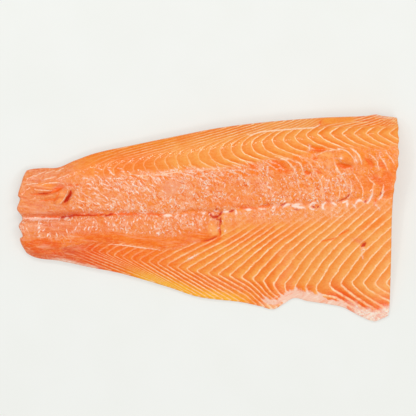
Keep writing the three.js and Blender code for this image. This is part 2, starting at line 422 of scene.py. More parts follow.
def zones(x, y):
    """Distances from the edges, and how far each point belongs to each kind of flesh, 0 to 1."""
    x = x + 1.1 * rough_noise(x, y, 7, 41)
    y = y + 0.9 * rough_noise(x, y, 7, 51)
    above_spine = y - SPINE_LINE(x)
    valley = valley_distance(x, y)
    share = bundle_share(x, y)
    to_back = BACK_EDGE(x) - y
    to_belly = y - BELLY_EDGE(x)
    z = {"to_back": to_back, "above_spine": above_spine, "valley": valley}
    z["tail"] = fades(-122, -92, x)
    z["medial"] = grows(-2, 3, above_spine) * fades(-4, 3, valley) * (1 - z["tail"])
    z["bundle"] = grows(-0.05, 0.1, share) * fades(0.92, 1.02, share) * bundle_end(x)
    z["bundle_low"] = z["bundle"] * grows(0.5, 0.74, share)
    z["back"] = grows(-3, 3, valley) * grows(-110, -70, x)
    z["belly"] = grows(0.5, 3, -above_spine) * (1 - z["bundle"]) * grows(-112, -92, x)
    z["back_edge"] = fades(2, 9, to_back) * band(x, -96, 40, 16)
    below_septum = 1 - grows(-0.6, 0.6, y - SIDE_SEPTUM(x))
    edge_lines = grows(-12.5, -8, -to_back) * grows(-78, -62, x)
    edge_lines = edge_lines * (1 - grows(20, 34, x) * below_septum * fades(86, 92, x))
    z["tail_low"] = fades(-2, 2, to_belly - 19) * fades(-100, -70, x)
    past_tips = grows(0, 4, BELLY_TIPS(x) - y)
    z["belly_low"] = z["belly"] * past_tips * grows(-70, -30, x) * fades(74, 96, x)
    z["belly_fat"] = fades(2.5, 11, to_belly) * band(x, -60, 30, 14)
    z["tail_rim"] = fades(1.2, 3.2, to_belly) * band(x, -124, -88, 6)
    film_width = 13 - 6 * grows(84, 98, x)
    z["film"] = fades(0.25, 1, to_belly / film_width) * band(x, 44, 112, 5)
    z["lip"] = band(x, 41, 59, 3) * fades(2.6, 4.6, to_belly)
    z["low_right"] = fades(9, 26, to_belly) * grows(86, 106, x)
    ragged = to_belly + 2.4 * rough_noise(1.6 * x, 0.7 * y, 5, 121)
    z["flap"] = fades(5.5, 11, ragged) * grows(108, 122, x)
    z["side_band"] = grows(84, 92, x) * grows(71, 73.5, y)
    z["fat_band"] = band(x, 87, 118, 5) * grows(-1.5, 1.5, y - 73 - 0.16 * np.abs(x - 92))
    beside_band = grows(88, 92, x) * (1 - z["side_band"])
    z["edge_lines"] = edge_lines * (1 - z["fat_band"]) * (1 - beside_band)
    z["rim_strip"] = band(x, 131, 149, 2.5) * fades(1.4, 2.8, to_back)
    z["cut_edge"] = grows(-3.2, 0.4, x - KNIFE_CUT(y / 80))
    return z


def line_strengths(x, y, z):
    """How clearly each family of muscle lines shows."""
    near_spine = fades(8, 25, -z["above_spine"])
    beside_bones = fades(3, 16, -z["above_spine"])
    right = grows(64, 90, x)
    belly = z["belly"] * (1 - 0.88 * near_spine * (1 - right) - 0.6 * beside_bones * right)
    lower_arm = grows(0, 3, BELLY_TIPS(x) - y)
    upper_arm = 0.42 + 0.52 * grows(-50, 30, x)
    belly = belly * (upper_arm + (0.9 - upper_arm) * lower_arm)
    belly = belly * (1 + 0.2 * z["low_right"]) * (1 - 0.8 * z["flap"])
    belly = belly * (1 - 0.55 * z["tail_low"]) * (1 - 0.2 * z["belly_fat"])
    back = z["back"] * (0.42 + 0.63 * grows(-6, 48, x) + 0.12 * grows(60, 90, x))
    back = back * (1 - z["side_band"]) * (1 - z["edge_lines"])
    back = back * (1 + 0.8 * band(z["valley"], 0, 7, 4) * band(x, -20, 30, 15))
    medial = z["medial"] * band(x, 65, 104, 25) * grows(2, 8, z["above_spine"])
    medial = medial + 0.5 * z["medial"] * fades(-40, 20, x) * grows(12, 20, z["above_spine"])
    medial = medial * (1 - 0.85 * grows(35, 38, y) * grows(30, 50, x))
    patchy = 0.75 + 0.45 * rough_noise(x, y, 16, 61)
    clear = np.clip(patchy + 0.2, 0.4, 1.1)
    faint = fades(0, 40, x) * (1 - 0.7 * grows(2.5, 5, z["to_back"]))
    edge = 1.05 * (1 - 0.5 * faint) * z["edge_lines"] * (1 + 0.25 * z["side_band"])
    edge = edge * np.clip(1.3 * patchy - 0.2, 0.25, 1)
    medial = 0.62 * medial * patchy
    return {"belly": belly * clear, "back": back * clear, "medial": medial, "edge": edge}


def line_boldness(z):
    """Width of each family's lines, against their usual width."""
    belly = 0.85 + 0.6 * z["low_right"] + 0.1 * z["belly_low"] + 0.5 * z["film"]
    plain = np.ones(z["belly"].shape)
    return {"belly": belly, "back": 0.68 * plain, "medial": 0.8 * plain, "edge": 0.85 * plain}


FAMILIES = {"belly": belly_lines, "back": back_lines, "medial": medial_lines, "edge": edge_lines}


# Tones of the flesh and deeper tones between its lines, 0 to 255, each laid over those before it. The
# deeper tones are partly painted shade past each muscle line and partly darker clouds, clots, specks and
# streaks of the flesh.
FLESH_TONE, DEEP_FLESH_TONE = (249, 146, 44), (242, 106, 8)
TONES = {
    "medial": (246, 137, 50), "medial_right": (251, 142, 34), "back": (245, 162, 74),
    "back_left": (245, 108, 4), "belly_middle": (247, 163, 66), "belly_right": (246, 170, 88),
    "belly_left": (247, 119, 20), "belly_low": (249, 135, 26), "spine_side": (247, 147, 76),
    "tail": (240, 134, 62), "tail_low": (233, 76, 0), "bundle": (240, 131, 52),
    "bundle_low": (248, 124, 20), "back_edge": (245, 138, 18), "belly_fat": (252, 188, 34),
    "side_band": (250, 152, 38), "fat_band": (252, 154, 34), "low_right": (247, 106, 0),
    "cut_edge": (247, 164, 60), "flap": (243, 238, 224), "rim": (243, 210, 190),
    "lip": (249, 196, 136),
}
DEEP_TONES = {
    "medial": (238, 104, 14), "back": (242, 120, 16), "belly_right": (243, 128, 28),
    "belly_left": (243, 88, 6), "belly_low": (238, 92, 0), "tail": (230, 104, 50),
    "bundle_low": (238, 92, 6), "back_edge": (240, 104, 0), "belly_fat": (246, 144, 0),
    "side_band": (244, 104, 8), "low_right": (237, 78, 0),
}

# Patches of other flesh and of painted shade: middle x and y, half length, half width, turn in degrees,
# tone, share
PATCHES = [
    (-119, 23.6, 4.6, 2, 14, (251, 100, 4), 0.95),  # fold behind the slit
    (-128, 20.4, 7, 1.4, 14, (250, 116, 30), 0.6),
    (-132, 24.4, 11, 3.4, 6, (252, 138, 40), 0.85),  # orange fold above the slit
    (-118.4, 16.2, 7.4, 3.7, 58, (253, 152, 74), 0.95),  # lifted tongue
    (-112.4, 16.4, 5.6, 1.2, 59, (206, 60, 20), 0.9),  # shadow behind it
    (-121.6, 13.6, 5, 1.3, 50, (236, 112, 58), 0.7),
    (-124, 3, 24, 1.9, 2, (226, 96, 56), 0.65),  # painted shade on the flank of the furrow
    (-128, 15.6, 7, 1.6, 8, (250, 140, 66), 0.6),
    (-84, 22, 16, 13, 10, (240, 140, 74), 0.45),
    (-94, -7, 16, 7, 0, (238, 112, 46), 0.6),
    (-88, -19, 16, 4, 0, (236, 92, 10), 0.6),
    (-145, 9, 5, 7, 0, (238, 118, 60), 0.5),
    (-138, 8, 6, 4, 20, (246, 150, 106), 0.6),
    (-107, 4.5, 8, 3, 0, (236, 108, 54), 0.6),  # painted shade above the furrow
    (-132, -24, 17, 7, -4, (243, 88, 10), 0.9),  # bright low corner of the tail
    (-111, -27, 8, 4.2, -8, (218, 76, 34), 0.8),  # redder flesh beside it
    (-96, -12, 26, 3.2, 0, (240, 108, 44), 0.5),
    (-122, -8.5, 22, 6.5, 0, (237, 112, 56), 0.65),
    (-128, 34.6, 8, 2.4, 3, (242, 154, 112), 0.6),
    (-30, 23, 9, 6.5, 20, (242, 166, 130), 0.75),  # pinkish patch
    (-18, 13, 8, 4, 0, (246, 160, 114), 0.5),
    (57, 41, 10, 4.2, -30, (248, 104, 0), 1),  # painted shade in the hollow in the medial flesh
    (36.5, 41.2, 5.8, 2.6, -26, (248, 110, 4), 0.95),  # painted shade in a smaller hollow
    (87.6, 54.6, 8, 2, -6, (250, 116, 0), 1),  # painted shade in the pocket in the loin
    (97, 57.8, 12, 1.3, -14, (250, 116, 10), 0.6),
    (108.6, 48.6, 7.6, 4.4, -34, (253, 152, 54), 0.95),  # large lobe
    (107.6, 41, 7, 1.8, -8, (246, 92, 6), 0.95),  # shadow under it
    (118.6, 47.6, 6, 1.9, -58, (252, 168, 108), 0.6),  # pale sheet beside it
    (94, 50, 6.5, 2.8, -8, (253, 172, 96), 0.85),
    (96, 42.4, 4.6, 3.8, 0, (250, 168, 110), 0.6),
    # Painted shade in the pits and hollows round the lobes, on this line and the next four
    (79.2, 35.2, 3.4, 1.6, -20, (246, 98, 4), 0.9),
    (87, 36.4, 3, 1.3, -10, (246, 96, 10), 0.8),
    (66, 37, 3, 1.4, -30, (247, 98, 10), 0.7),
    (129, 43.2, 4.4, 3, -50, (248, 104, 8), 0.85),
    (138.4, 41.6, 4, 2.8, -50, (248, 106, 8), 0.85),
    (134.6, 29.6, 6.4, 3.2, -40, (250, 98, 4), 0.8),
    (146.6, 36, 2.4, 12, 0, (250, 120, 6), 0.7),
    (31, 8.2, 8.5, 2, -6, (246, 96, 8), 0.7),  # deep flesh beside the bones
    (18, 13, 20, 4.5, 8, (250, 124, 48), 0.4),
    (3.2, -9.4, 4, 7.4, 20, (253, 172, 96), 0.9),  # pale flap of the torn end
    (3, -19.6, 9, 2, 22, (244, 96, 8), 0.8),  # shadow under it
    (32, -14.5, 22, 4.5, 17, (249, 116, 38), 0.6),
    (120.5, -18.8, 6.5, 2.4, -20, (240, 130, 88), 0.8),  # pinkish flesh beside the nick
    (131, -5, 13, 4, 24, (248, 102, 6), 0.6),
    (142, 27, 5, 13, 0, (248, 100, 8), 0.7),
    (124, 27, 8, 8, 30, (249, 116, 28), 0.5),
    (60, -14, 26, 5, 26, (248, 124, 40), 0.45),
    (-6, -22, 18, 4, 16, (246, 114, 32), 0.5),
    (63.5, 78.4, 2.6, 0.9, 5, (118, 118, 122), 0.75),  # grey speck of skin at the back edge
]


def to_linear(colour):
    share = np.array(colour, dtype=float) / 255
    return np.where(share <= 0.04045, share / 12.92, ((share + 0.055) / 1.055) ** 2.4)


def blend_tone(colours, tone, amount):
    return colours + (to_linear(tone) - colours) * np.clip(amount, 0, 1)[..., None]


def blended(x, z, base, tones):
    """The tones of the zones, one after the other, over the base tone."""
    left_share = fades(-60, 0, x)
    right_share = grows(40, 90, x)
    shares = dict(z)
    shares["belly_left"] = z["belly"] * left_share
    shares["belly_middle"] = z["belly"] * (1 - left_share) * (1 - right_share)
    shares["belly_right"] = z["belly"] * right_share
    shares["back_left"] = z["back"] * fades(-60, -20, x) * 0.85
    shares["medial_right"] = z["medial"] * right_share
    shares["spine_side"] = band(-z["above_spine"], 1, 14, 4) * grows(8, 16, x) * 0.7
    shares["rim"] = np.maximum(z["tail_rim"], z["rim_strip"]) * 0.85
    shares["cut_edge"] = 0.6 * z["cut_edge"]
    colours = np.broadcast_to(to_linear(base), x.shape + (3,)).copy()
    for name, tone in tones.items():
        colours = blend_tone(colours, tone, shares[name])
    return colours


def flesh_colours(x, y, z):
    """The base colour, and how much of it is covered by patches."""
    colours = blended(x, z, FLESH_TONE, TONES)
    cover = np.zeros(x.shape)
    wx = x + 0.8 * rough_noise(x, y, 4, 71)
    wy = y + 0.8 * rough_noise(x, y, 4, 81)
    for cx, cy, long, wide, degrees, tone, amount in PATCHES:
        along, across = turned(wx, wy, cx, cy, degrees)
        reach = np.hypot(along / long, across / wide)
        share = amount * fades(0.6, 1.2, reach)
        colours = blend_tone(colours, tone, share)
        cover = np.maximum(cover, share)
    return colours, cover


# -------- strokes
# Each stroke: middle x and y, length, heading and bend in degrees, half width
TISSUE_AND_GLINT_STROKES = [
    (-135.5, -0.9, 32, 0, 6, 0.62), (-139, -2, 9, -4, -10, 0.5),  # membrane in the furrow
    (-113.6, -0.7, 3.4, 28, 0, 0.7),
    (-32.6, 1.5, 6, -3, 0, 1), (-25.6, 1.2, 2.6, 60, 20, 0.6),
    (-3.4, 3.4, 2.8, 30, 0, 0.9), (6.6, 4.8, 3.6, 0, 60, 0.7), (13.8, 4.3, 4.2, 8, 0, 0.9),
    (22.2, 4.4, 4.4, 84, 40, 0.7), (32, 6.2, 4.4, -4, 0, 1), (43, 6.6, 5, -2, 20, 0.6),
    (52, 8.1, 3.2, 42, 0, 0.9),
    (62.4, 9.6, 6.5, 24, -60, 0.9), (71.6, 8.4, 10.5, -8, 10, 1), (70.6, 10.2, 7, 0, -16, 0.7),
    (82.8, 10.4, 7, 30, -90, 0.8), (82.4, 6.9, 4, -20, 60, 0.6), (92, 9.4, 7, -105, 130, 0.9),
    (100.4, 10.8, 5, -32, 20, 0.9), (109.2, 12.7, 5, 24, 30, 0.8), (110.6, 10.6, 6, 92, 0, 0.8),
    (116.5, 9.2, 5, -52, 0, 0.5), (120.4, 12.6, 8, 12, -150, 0.8), (128.8, 15, 9.5, 58, 50, 0.8),
    (137.9, 17.2, 7, 58, 30, 0.7), (134, 9.2, 7, -50, 20, 0.4),
    (80.6, 55.4, 3.6, 92, 10, 0.5), (117.4, 46, 4, -66, 0, 0.4), (68.4, 38.4, 4, -80, 0, 0.4),
    # Painted glints of the wet surface: the three dots on this line and the first two on the next
    (-1.2, 23.6, 1.6, 0, 0, 1), (105.2, 46.8, 1.4, 0, 0, 0.8), (94.2, 29.6, 1.6, 0, 0, 0.8),
    (-135.6, -8.2, 1.6, 0, 0, 0.9), (-134.2, -5, 1.2, 0, 0, 0.6), (-18, 2, 2, 20, 0, 0.6),
    (-13, -32, 9, 27, 0, 0.4), (3.8, 2, 2, 20, 0, 0.4), (8.2, -8.4, 1.6, 40, 0, 0.6),
    (13.4, -11, 2, 60, 0, 0.5), (-31, 36.8, 14, 10, 10, 0.22), (-12, 37.4, 12, 2, -8, 0.25),
    (123, -29.5, 8, -80, 20, 0.12), (124, -25.2, 3, -20, 0, 0.25),
]
# Dark red strokes: real blood in the tears, nicks and spots, and painted shadow along the tail furrow and
# in the crescent behind the lifted tongue
BLOOD_AND_SHADOW_STROKES = [
    (-112.6, 0.6, 14, 9, 6, 0.75), (-98, 1.8, 18, 2, 0, 0.35), (-79.6, 1.9, 6, 14, 0, 0.6),
    (-84, 2.2, 6, 0, 0, 0.15), (-131.2, 18.9, 9, 4, 8, 0.22), (-112, 16.6, 10.5, -121, -24, 1.1),
    (2, 2.2, 5, -42, 20, 0.8), (5.6, 0.4, 5, 6, 0, 1.1), (9.4, 2.6, 4.4, 52, -20, 0.7),
    (6.4, 6.2, 3.4, 84, 0, 0.3), (9.8, -3, 4.6, -78, 20, 0.8), (7.6, -1.6, 3.6, -30, 0, 0.5),
    (9.4, -9.6, 9, -88, 8, 0.32), (1.6, -17.4, 11, 20, 12, 0.3),
    (18.3, 5, 4.6, 18, 0, 0.6), (84, 8.3, 2.8, -20, 0, 0.7), (87.6, 8.4, 1.8, 60, 0, 0.6),
    (109.6, 16, 11.5, 33, 30, 0.3), (124.8, 12.6, 2.4, 40, 0, 0.5), (137.2, 19, 3, 60, 0, 0.4),
    (124.1, -22.2, 3.6, 44, 0, 1.1), (60, 10.6, 5, 24, 0, 0.4), (71, 6.2, 4.6, -6, 0, 0.3),
]
# Pale rims of the lobes and folds
RIM_STROKES = [
    (111, 50.6, 19, -40, -70, 0.45), (118.4, 49.6, 17, -56, -60, 0.6), (132.4, 45, 17, -56, -70, 0.4),
    (139.6, 43.6, 15, -60, -24, 0.34), (145.6, 46, 14, -58, -24, 0.3), (106.4, 33, 30, -60, 10, 0.3),
    (117.2, 32.2, 9, -56, -40, 0.3), (129.4, 29.6, 9, -48, 14, 0.34), (130.6, 21.4, 11, -104, -20, 0.3),
    (138.8, 21.4, 10, -99, 10, 0.34), (122.4, 22.6, 12, -78, -50, 0.28),
    # painted highlight on the lit right edge of the lifted tongue
    (-114.8, 16.2, 12, -119, -30, 0.28),
    (-141.5, 26.6, 11, 6, -10, 0.2), (101.8, 39.8, 9, -68, 24, 0.34), (62, 44, 20, -36, -56, 0.4),
    (73.4, 40.4, 14, -62, -56, 0.34), (81.6, 40.2, 13, -60, -60, 0.3), (96, 52.6, 22, 12, -30, 0.26),
    (89.4, 40.8, 9, -50, 40, 0.26), (84.6, 44.8, 8, -30, 20, 0.26), (49, 41.6, 13, -30, -24, 0.3),
    (-30, 35.2, 26, 8, -10, 0.24), (2, 38.8, 26, 5, 12, 0.22), (-54, 33.6, 16, -4, 30, 0.2),
    (36, 42.2, 10, -24, -30, 0.26), (23, 40.6, 9, -20, -20, 0.22),
    (89.4, 25.4, 22, -74, -50, 0.26), (104, 23, 18, -84, -50, 0.26), (113.4, 23.2, 16, -92, -50, 0.26),
    (97.4, 24, 18, -80, -50, 0.18),
    (-142, 32.4, 8, 22, 0, 0.14), (-134.5, 35.2, 10, 24, -8, 0.16), (-127, 36.4, 8, 20, 0, 0.14),
    (-119, 38, 8, 28, 0, 0.2), (-127, 31.4, 11, 14, -10, 0.2), (-116, 32.8, 10, 24, 0, 0.2),
    (-124.5, 27.2, 18, 2, -34, 0.24), (-132, 21.6, 14, -6, 16, 0.16),
]
# Painted shade: deeper orange strokes in creases, pits, the slit, the torn step and the furrow
CREASE_SHADE_STROKES = [
    (-136, 18.4, 12, 0, 10, 0.2), (-121.4, 21.4, 11, 24, 8, 0.5), (-128, 13.9, 14, 7, 10, 0.05),
    (-122.6, 14.8, 3, 20, 0, 0.4), (-121.4, 16.4, 8, 62, 20, 0.35), (-110, 25.3, 3.4, -10, 0, 0.7),
    (-105.2, 25.8, 1.8, 30, 0, 0.6), (-126, 0.6, 16, 1, 0, 0.3), (-97, 2, 18, 3, 0, 0.4),
    (-64, 2.7, 17, -1, 0, 0.5),
    (8.9, -11, 13, -88, 0, 0.6), (1.2, -17.2, 14, 19, 14, 1), (8, -16, 4, 60, 0, 0.6),
    (87, 53.2, 11, -2, 8, 0.6), (108.8, 41.4, 11, -8, 0, 0.8), (78.4, 35.6, 3.2, -60, 0, 0.9),
    (88, 35.7, 4, -30, 0, 0.6), (85.4, 46.8, 3.6, 20, 0, 0.6), (126.6, 45.2, 5, -42, 0, 0.8),
    (57, 37, 3, -62, 0, 0.5), (28, 7.8, 12, -4, 14, 0.34), (45, 9, 8, 8, 0, 0.5),
    (89.4, 75.2, 4, 62, 0, 0.5), (96.6, 12.4, 7, -12, 0, 0.3), (133, 12.5, 6, 70, 0, 0.5),
    (-68, 2.6, 22, -1, 0, 0.5), (-42, 2.4, 16, -2, 0, 0.4), (-90, 2, 12, 1, 0, 0.5),
    (108, -12.2, 9, 28, 0, 0.4), (96, -18, 12, 12, 0, 0.3),
]


def curls():
    """Short pale shreds strewn over the flesh on both sides of the spine line."""
    rng = np.random.default_rng(7)
    strokes = []
    for x in np.arange(-102, 12, 3.6):
        for y in np.arange(5, 44, 4):
            cx, cy = x + rng.uniform(-2.2, 2.2), y + rng.uniform(-2.3, 2.3)
            length, heading = rng.uniform(1.6, 6.5), rng.uniform(-58, -8)
            bend_degrees, half = rng.uniform(-90, 40), rng.uniform(0.05, 0.24)
            crowded = bell(cy - 0.16 * cx - 36, 6) + 0.8 * bell(cx + 78, 28)
            if rng.uniform() < 0.22 + 0.6 * crowded and cy < 33 + VALLEY_OFFSET(cx) * 0.22:
                strokes.append((cx, cy, length, heading, bend_degrees, half))
    for x in np.arange(-136, 6, 2.5):
        for depth in (3, 6.4, 9.8, 13):
            cx, cy = x + rng.uniform(-1.3, 1.3), SPINE_LINE(x) - depth + rng.uniform(-1.7, 1.7)
            length, heading, half = rng.uniform(1, 3.6), rng.uniform(50, 120), rng.uniform(0.1, 0.3)
            if rng.uniform() < 0.5 - 0.1 * (depth > 9):
                strokes.append((cx, cy, length, heading, rng.uniform(-50, 50), half))
    for x in np.arange(14, 140, 5):
        for y in np.arange(3, 28, 5):
            cx, cy = x + rng.uniform(-2.4, 2.4), SPINE_LINE(x) + y + rng.uniform(-2.4, 2.4)
            if rng.uniform() < 0.35 * fades(70, 150, x):
                length, heading = rng.uniform(1, 3.4), rng.uniform(30, 110)
                strokes.append((cx, cy, length, heading, rng.uniform(-60, 60), 0.18))
    return strokes


def flecks():
    """Small lobes where the medial flesh meets the back: a pale rim over a deep shadow."""
    rng = np.random.default_rng(19)
    shadows, rims = [], []
    for x in np.arange(-66, 84, 5.4):
        for _ in range(2 if x > -10 else 1):
            cx = x + rng.uniform(-2.6, 2.6)
            cy = SPINE_LINE(cx) + VALLEY_OFFSET(cx) - rng.uniform(0.5, 9.5)
            length, heading = rng.uniform(2.6, 8), rng.uniform(-38, -8)
            half = rng.uniform(0.3, 0.95)
            shadows.append((cx, cy, length, heading, rng.uniform(-30, 10), half))
            rims.append((cx + 0.6, cy + half + 0.7, 1.3 * length, heading, rng.uniform(-50, -10), 0.16))
    return shadows, rims


STROKE_STEP = 1.4
STROKE_TAPER = 0.65
STROKE_REACH = 3.0


def stroke_path(cx, cy, length, heading, bend_degrees):
    steps = max(2, int(length / STROKE_STEP))
    angles = np.radians(heading + bend_degrees * ((np.arange(steps) + 0.5) / steps - 0.5))
    px = np.concatenate([[0], np.cumsum(np.cos(angles))]) * length / steps
    py = np.concatenate([[0], np.cumsum(np.sin(angles))]) * length / steps
    return px - px.mean() + cx, py - py.mean() + cy


def stroke_distance(x, y, strokes):
    """Distance to the edge of the nearest stroke, negative inside it."""
    nearest = np.full(x.shape, STROKE_REACH)
    for cx, cy, length, heading, bend_degrees, half_width in strokes:
        px, py = stroke_path(cx, cy, length, heading, bend_degrees)
        margin = STROKE_REACH + half_width
        close = (x > px.min() - margin) & (x < px.max() + margin)
        close &= (y > py.min() - margin) & (y < py.max() + margin)
        nx, ny = x[close], y[close]
        best = nearest[close]
        count = len(px) - 1
        for k in range(count):
            dx, dy = px[k + 1] - px[k], py[k + 1] - py[k]
            t = np.clip(((nx - px[k]) * dx + (ny - py[k]) * dy) / (dx * dx + dy * dy), 0, 1)
            gap = np.hypot(nx - px[k] - t * dx, ny - py[k] - t * dy)
            taper = 1 - STROKE_TAPER * ((2 * (k + t) / count - 1) ** 2)
            best = np.minimum(best, gap - half_width * taper)
        nearest[close] = best
    return nearest


def stroke_fields(x, y):
    """The distance fields of all strokes, with slightly ragged outlines."""
    wx = x + 0.45 * rough_noise(x, y, 2.6, 91)
    wy = y + 0.45 * rough_noise(x, y, 2.6, 95)
    shadows, rims = flecks()
    # the fleck shadows are painted shade under the small lobes
    strokes = {"tissue_and_glints": TISSUE_AND_GLINT_STROKES, "curl": curls(), "blood_and_shadow": BLOOD_AND_SHADOW_STROKES,
               "crease_shade": CREASE_SHADE_STROKES, "hollow_shade": shadows}
    fields = {name: stroke_distance(wx, wy, group) for name, group in strokes.items()}
    fields["septum"] = septum_distance(wx, wy, RIM_STROKES + rims)
    return fields


def septum_distance(x, y, rims):
    """Pale sheets between muscles: below the long bundle, along the back and round the lobes."""
    share = bundle_share(x, y)
    under = np.abs(share - 1.02) * BUNDLE_WIDTH(x) - 0.3 + 1.2 * (1 - band(x, -84, -34, 12))
    under = np.where((x > -96) & (x < -14), under, STROKE_REACH)
    side = np.abs(y - SIDE_SEPTUM(x)) - 0.45 * band(x, SEPTUM_START, SEPTUM_FINISH, 6)
    side = np.where((x > SEPTUM_START) & (x < SEPTUM_FINISH), side, STROKE_REACH)
    pale = np.minimum(np.minimum(under, side), stroke_distance(x, y, rims))
    return np.clip(pale, -1, STROKE_REACH)


# -------- fine relief
def fraction(value):
    return value - np.floor(value)


def ramp(count):
    t = fraction(count)
    return t * fades(0.88, 1, t)


def layer_relief(x, y, strengths):
    """Each muscle layer rises slowly to its line and drops just past it."""
    swell = 0.4 * ramp(belly_lines(x, y)) * strengths["belly"]
    swell = swell + 0.3 * np.sin(np.pi * fraction(back_lines(x, y))) * strengths["back"]
    return swell + 0.5 * ramp(medial_lines(x, y)) * strengths["medial"]


def grain_share(z):
    """Where the flesh beside the spine is torn into soft grains."""
    share = z["medial"] + 0.8 * z["bundle"] * (1 - z["bundle_low"]) * (1 - 0.45 * z["tail"])
    share = share + 0.25 * z["tail"]
    share = share + 0.8 * band(-z["above_spine"], 0, 12, 6) * (1 - z["bundle"])
    return np.clip(share, 0, 1)


def grain_relief(x, y, z):
    coarse = rough_noise(x, y, 3.6, 11)
    fine = rough_noise(x, y, 2, 21, octaves=1)
    calm = 0.16 * rough_noise(x, y, 11, 31, octaves=2) + 0.06 * rough_noise(x, y, 3, 37, octaves=1)
    depth = 1 - 0.6 * grows(10, 70, x)
    return grain_share(z) * depth * (0.28 * coarse + 0.15 * fine) + calm


# Rise of each kind of stroke, and the distances from its edge where it is full and where it ends
STROKE_RELIEF = {
    "tissue_and_glints": (0.55, -0.3, 0.8), "curl": (0.22, -0.2, 0.8), "blood_and_shadow": (-0.5, -0.6, 1.1),
    "crease_shade": (-0.5, -0.4, 1.2), "hollow_shade": (-0.5, -0.4, 1.2), "septum": (0.22, -0.2, 0.9),
}


def stroke_relief(fields):
    relief = 0
    for name, (rise, full, end) in STROKE_RELIEF.items():
        relief = relief + rise * fades(full, end, fields[name])
    return relief


def film_relief(x, y, z):
    """Folds of the thin belly membrane and of the flap at the corner."""
    folds = rough_noise(x * 1.6, y * 0.5, 4, 101) + 0.5 * np.sin(1.5 * x + 0.5 * y)
    return np.clip(0.6 * z["film"] + z["flap"] + z["tail_rim"], 0, 1) * 0.35 * folds


FULL_RELIEF_THICKNESS = 6


def flesh_height(x, y, s, z, strengths, fields):
    inside = 1 - s ** 8
    groove = -GROOVE_DEPTH(x) * bell(y - SPINE_LINE(x), GROOVE_HALF_WIDTH)
    relief = groove + bundle_relief(x, y) + valley_relief(x, y) + spot_relief(x, y)
    fine = layer_relief(x, y, strengths) + grain_relief(x, y, z)
    fine = fine + stroke_relief(fields) + film_relief(x, y, z)
    thin = np.clip(base_height(x, s) / FULL_RELIEF_THICKNESS, 0.15, 1)
    return base_height(x, s) + inside * relief + (1 - s ** 16) * thin * fine


# -------- meshes
EVEN_SHARE = 0.75


def across_position(j, cells):
    """Position across the fish of grid column j, with the columns closer near the spine line."""
    t = 2 * j / cells - 1
    return EVEN_SHARE * t + (1 - EVEN_SHARE) * t * np.abs(t)


def border_cells(along_cells, across_cells):
    """Grid positions round the border, anticlockwise seen from above: belly, cut, back, tail."""
    along = np.arange(along_cells)
    across = np.arange(across_cells)
    i = np.concatenate([along, np.full(across_cells, along_cells), along_cells - along,
                        np.zeros(across_cells, int)])
    j = np.concatenate([np.zeros(along_cells, int), across, np.full(along_cells, across_cells),
                        across_cells - across])
    return i, j


WALL_INSET = curve((0, EDGE_ROLL), (0.12, 0.45), (0.3, 0.1), (0.55, 0), (0.8, 0.25), (1, 0.75))


def make_mesh(name, vertices, faces, smooth=True):
    mesh = bpy.data.meshes.new(name)
    mesh.from_pydata((np.asarray(vertices) * METRES).tolist(), [], [list(map(int, f)) for f in faces])
    mesh.validate()
    mesh.polygons.foreach_set("use_smooth", [smooth] * len(mesh.polygons))
    mesh.update()
    piece = bpy.data.objects.new(name, mesh)
    bpy.context.scene.collection.objects.link(piece)
    return piece


def set_attribute(piece, name, values, kind="FLOAT", field="value"):
    layer = piece.data.attributes.new(name, kind, "POINT")
    layer.data.foreach_set(field, np.asarray(values, dtype=np.float32).ravel())


def set_colours(piece, name, colours):
    alpha = np.ones((len(colours), 1))
    set_attribute(piece, name, np.hstack([colours, alpha]), "FLOAT_COLOR", "color")


def grid(along_cells, across_cells, inset):
    i, j = np.meshgrid(np.arange(along_cells + 1), np.arange(across_cells + 1), indexing="ij")
    u, s = i / along_cells, across_position(j, across_cells)
    x, y = plan_point(u, s, inset)
    index = np.arange(i.size).reshape(i.shape)
    quads = np.stack([index[:-1, :-1], index[1:, :-1], index[1:, 1:], index[:-1, 1:]], -1)
    return u, s, x, y, index, quads.reshape(-1, 4)


def ring_quads(upper, lower):
    return np.stack([lower, np.roll(lower, -1), np.roll(upper, -1), upper], -1)


def wall_rings(border, first, rows):
    """The border of a grid and the rows of a wall that starts there, numbered from first."""
    size = len(border)
    return [border] + [np.arange(first + k * size, first + (k + 1) * size) for k in range(rows)]


class Surface:
    """Plan, heights, zones and strokes on the fine grid of the flesh."""

    def __init__(self):
        self.u, self.s, self.x, self.y, self.index, self.quads = grid(CELLS_ALONG, CELLS_ACROSS, EDGE_ROLL)
        self.z = zones(self.x, self.y)
        self.strengths = line_strengths(self.x, self.y, self.z)
        self.fields = stroke_fields(self.x, self.y)
        self.height = flesh_height(self.x, self.y, self.s, self.z, self.strengths, self.fields)


def skin_level(edge_height):
    return np.minimum(SKIN_THICKNESS, 0.35 * edge_height)


def build_flesh(surface):
    """Vertices, faces and, for each vertex, its source on the top grid and its depth down the wall."""
    top = np.stack([surface.x, surface.y, surface.height], axis=-1).reshape(-1, 3)
    bi, bj = border_cells(CELLS_ALONG, CELLS_ACROSS)
    border = surface.index[bi, bj]
    edge_height = surface.height[bi, bj]
    skin_top = skin_level(edge_height)
    parts, depths, sources = [top], [np.zeros(len(top))], [np.arange(len(top))]
    for share in np.linspace(0, 1, WALL_ROWS + 1)[1:]:
        wx, wy = plan_point(surface.u[bi, bj], surface.s[bi, bj], float(WALL_INSET(share)))
        level = edge_height + (skin_top - edge_height) * share
        parts.append(np.stack([wx, wy, level], axis=-1))
        depths.append(edge_height - level)
        sources.append(border)
    rings = wall_rings(border, len(top), WALL_ROWS)
    walls = [ring_quads(upper, lower) for upper, lower in zip(rings, rings[1:])]
    return np.concatenate(parts), walls, rings[-1], np.concatenate(depths), np.concatenate(sources)


